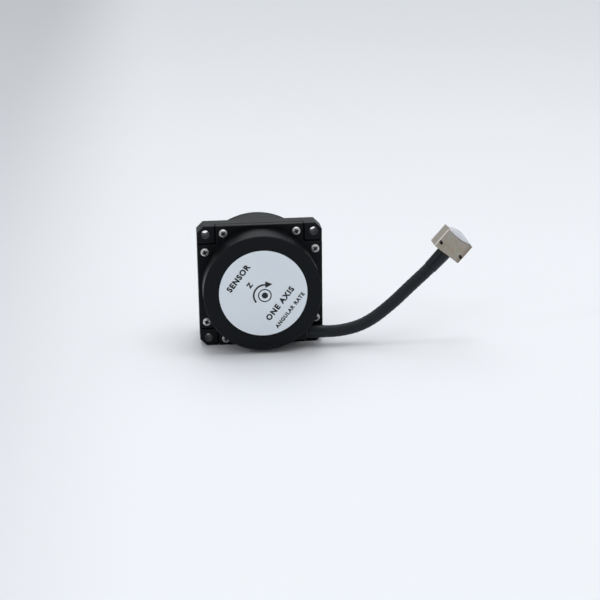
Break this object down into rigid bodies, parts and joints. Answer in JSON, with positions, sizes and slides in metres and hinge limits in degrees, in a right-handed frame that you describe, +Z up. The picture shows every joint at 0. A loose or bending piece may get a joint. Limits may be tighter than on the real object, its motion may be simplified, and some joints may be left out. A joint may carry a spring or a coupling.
{
  "type": "fibre-optic gyroscope module",
  "caption": "Square-flanged single-axis fibre-optic gyroscope with round sensor drums, corner mounting holes and a short pigtail lead ending in a capped metal connector.",
  "frame": {"origin": "middle of the housing's footprint, at the height of the flange's bottom edge on which the module stands", "axes": "+Y along the sensing axis from the labelled front drum to the rear cover, +Z up, +X to the side where the lead leaves"},
  "size_m": [0.1323, 0.0418, 0.06],
  "materials": {
    "black_anodised": "black anodised, fine bead-blasted satin",
    "screw_steel": "bright stainless",
    "screw_black": "black oxide",
    "label_film": "white polyester film, satin",
    "seal_rubber": "matte",
    "shield_alloy": "annealed nickel-iron sheet",
    "spool_alloy": "machined",
    "coated_fibre": "potted fibre winding",
    "gold_package": "gold plated",
    "splice_steel": "drawn tube",
    "standoff_brass": "turned",
    "board_green": "solder mask",
    "chip_epoxy": "moulded epoxy",
    "capacitor_can": "satin",
    "white_nylon": "moulded nylon",
    "wire_insulation": "extruded",
    "cable_braid": "braided monofilament sleeve",
    "heat_shrink": "shrunk polyolefin, satin",
    "nickel_plate": "nickel plated, satin",
    "potting_epoxy": "cast",
    "insert_plastic": "moulded",
    "gold_contact": "gold plated",
    "frosted_plastic": "frosted translucent polyethylene"
  },
  "bodies": {
    "module": {"base_housing": "black_anodised", "front_cover": "black_anodised", "rear_cover": "black_anodised", "front_gasket": "seal_rubber", "rear_gasket": "seal_rubber", "cable_grommet": "seal_rubber", "cover_screws": "screw_steel", "rear_cover_screws": "screw_black", "board_screws": "screw_steel", "spool_screws": "screw_steel", "label_disc": "label_film", "shield_cup": "shield_alloy", "shield_lid": "shield_alloy", "coil_spool": "spool_alloy", "fibre_coil": "coated_fibre", "fibre_slack": "coated_fibre", "phase_modulator": "gold_package", "light_source": "gold_package", "photodetector": "gold_package", "fibre_coupler": "splice_steel", "splice_sleeves": "splice_steel", "board_standoffs": "standoff_brass", "board_spacers": "standoff_brass", "signal_board": "board_green", "power_board": "board_green", "signal_processor": "chip_epoxy", "converter_chips": "chip_epoxy", "board_link": "chip_epoxy", "power_module": "chip_epoxy", "filter_capacitors": "capacitor_can", "clock_crystal": "capacitor_can", "lead_header": "white_nylon", "lead_plug": "white_nylon", "lead_wires": "wire_insulation", "cable": "cable_braid", "cable_sleeve": "heat_shrink", "connector_boot": "heat_shrink", "connector_shell": "nickel_plate", "connector_screws": "screw_black", "connector_potting": "potting_epoxy", "connector_insert": "insert_plastic", "connector_pins": "gold_contact"},
    "cap": {"dust_cap": "frosted_plastic"}
  },
  "joints": [
    {"name": "dust_cap_pull", "type": "slide", "parent": "module", "child": "cap", "axis": [0.6433, -0.0503, 0.7639], "range_m": [0, 0.012]}
  ]
}
